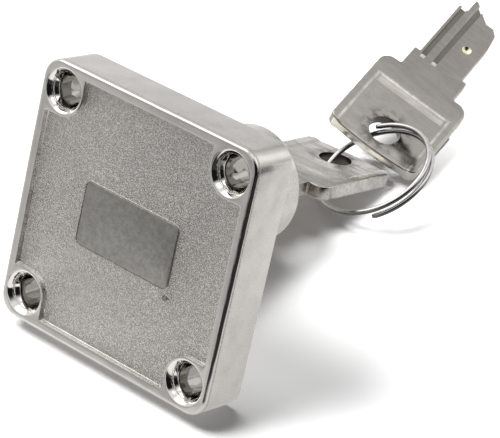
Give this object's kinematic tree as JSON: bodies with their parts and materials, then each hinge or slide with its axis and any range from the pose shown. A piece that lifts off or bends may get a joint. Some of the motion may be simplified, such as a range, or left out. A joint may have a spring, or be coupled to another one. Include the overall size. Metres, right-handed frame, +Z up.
{
  "type": "drawer lock",
  "caption": "Square drawer lock with corner screw bosses, a round cylinder that throws a square bolt sideways, a key in place and a spare key on a split ring.",
  "frame": {"origin": "where the cylinder's axis meets the mounting face, at the middle of the plug's tail", "axes": "+Z up as the lock lies on a table; +X to the right seen from the case's back; +Y away from the case, towards the keys; the cylinder's axis points along +Y, 19.4 degrees down"},
  "size_m": [0.04, 0.1003, 0.0402],
  "materials": {
    "case": "nickel-plated die-cast zinc, satin with a fine grain in the sunk panel",
    "barrel_housing": "nickel-plated die-cast zinc, satin",
    "flange_rivets": "plain steel",
    "plug": "nickel-plated brass",
    "drive_cam": "plain steel",
    "cam_screw": "zinc-plated steel",
    "bolt": "nickel-plated steel",
    "wafer": "plain brass",
    "wafer_spring": "spring steel wire",
    "key": "nickel-plated brass, bare at the cut tip",
    "key_ring": "bright spring steel wire"
  },
  "bodies": {
    "lock": {"case": "case", "barrel_housing": "barrel_housing", "flange_rivets": "flange_rivets"},
    "plug": {"plug": "plug", "drive_cam": "drive_cam", "cam_screw": "cam_screw", "wafer_spring_1": "wafer_spring", "wafer_spring_2": "wafer_spring", "wafer_spring_3": "wafer_spring", "wafer_spring_4": "wafer_spring", "wafer_spring_5": "wafer_spring"},
    "bolt": {"bolt": "bolt"},
    "key": {"key_in_lock": "key"},
    "wafer_1": {"wafer_1": "wafer"},
    "wafer_2": {"wafer_2": "wafer"},
    "wafer_3": {"wafer_3": "wafer"},
    "wafer_4": {"wafer_4": "wafer"},
    "wafer_5": {"wafer_5": "wafer"},
    "ring": {"key_ring": "key_ring"},
    "spare_key": {"spare_key": "key"}
  },
  "joints": [
    {"name": "plug_turn", "type": "hinge", "parent": "lock", "child": "plug", "pos_m": [0, 0, 0], "axis": [0, 0.9432, -0.3323], "range_deg": [0, 180]},
    {"name": "bolt_throw", "type": "slide", "parent": "lock", "child": "bolt", "axis": [-1, 0, 0], "range_m": [0, 0.009]},
    {"name": "key_slide", "type": "slide", "parent": "plug", "child": "key", "axis": [0, 0.9432, -0.3323], "range_m": [0, 0.018]},
    {"name": "wafer_1_slide", "type": "slide", "parent": "plug", "child": "wafer_1", "axis": [-1, 0, 0], "range_m": [0, 0.0008]},
    {"name": "wafer_2_slide", "type": "slide", "parent": "plug", "child": "wafer_2", "axis": [1, 0, 0], "range_m": [0, 0.0008]},
    {"name": "wafer_3_slide", "type": "slide", "parent": "plug", "child": "wafer_3", "axis": [-1, 0, 0], "range_m": [0, 0.0008]},
    {"name": "wafer_4_slide", "type": "slide", "parent": "plug", "child": "wafer_4", "axis": [1, 0, 0], "range_m": [0, 0.0008]},
    {"name": "wafer_5_slide", "type": "slide", "parent": "plug", "child": "wafer_5", "axis": [-1, 0, 0], "range_m": [0, 0.0008]},
    {"name": "ring_swing", "type": "hinge", "parent": "key", "child": "ring", "pos_m": [0, 0.04612, -0.01625], "axis": [0, 0.3323, 0.9432], "range_deg": [-15, 105]},
    {"name": "spare_key_swing", "type": "hinge", "parent": "ring", "child": "spare_key", "pos_m": [0.00377, 0.05364, -0.01272], "axis": [-0.8364, -0.4429, -0.3228], "range_deg": [0, 75]}
  ],
  "couplings": [
    {"joint": "plug_turn", "follows": "bolt_throw", "rad_per_m": 349.07},
    {"joint": "wafer_1_slide", "follows": "key_slide", "ratio": 0.0444},
    {"joint": "wafer_2_slide", "follows": "key_slide", "ratio": 0.0444},
    {"joint": "wafer_3_slide", "follows": "key_slide", "ratio": 0.0444},
    {"joint": "wafer_4_slide", "follows": "key_slide", "ratio": 0.0444},
    {"joint": "wafer_5_slide", "follows": "key_slide", "ratio": 0.0444}
  ]
}
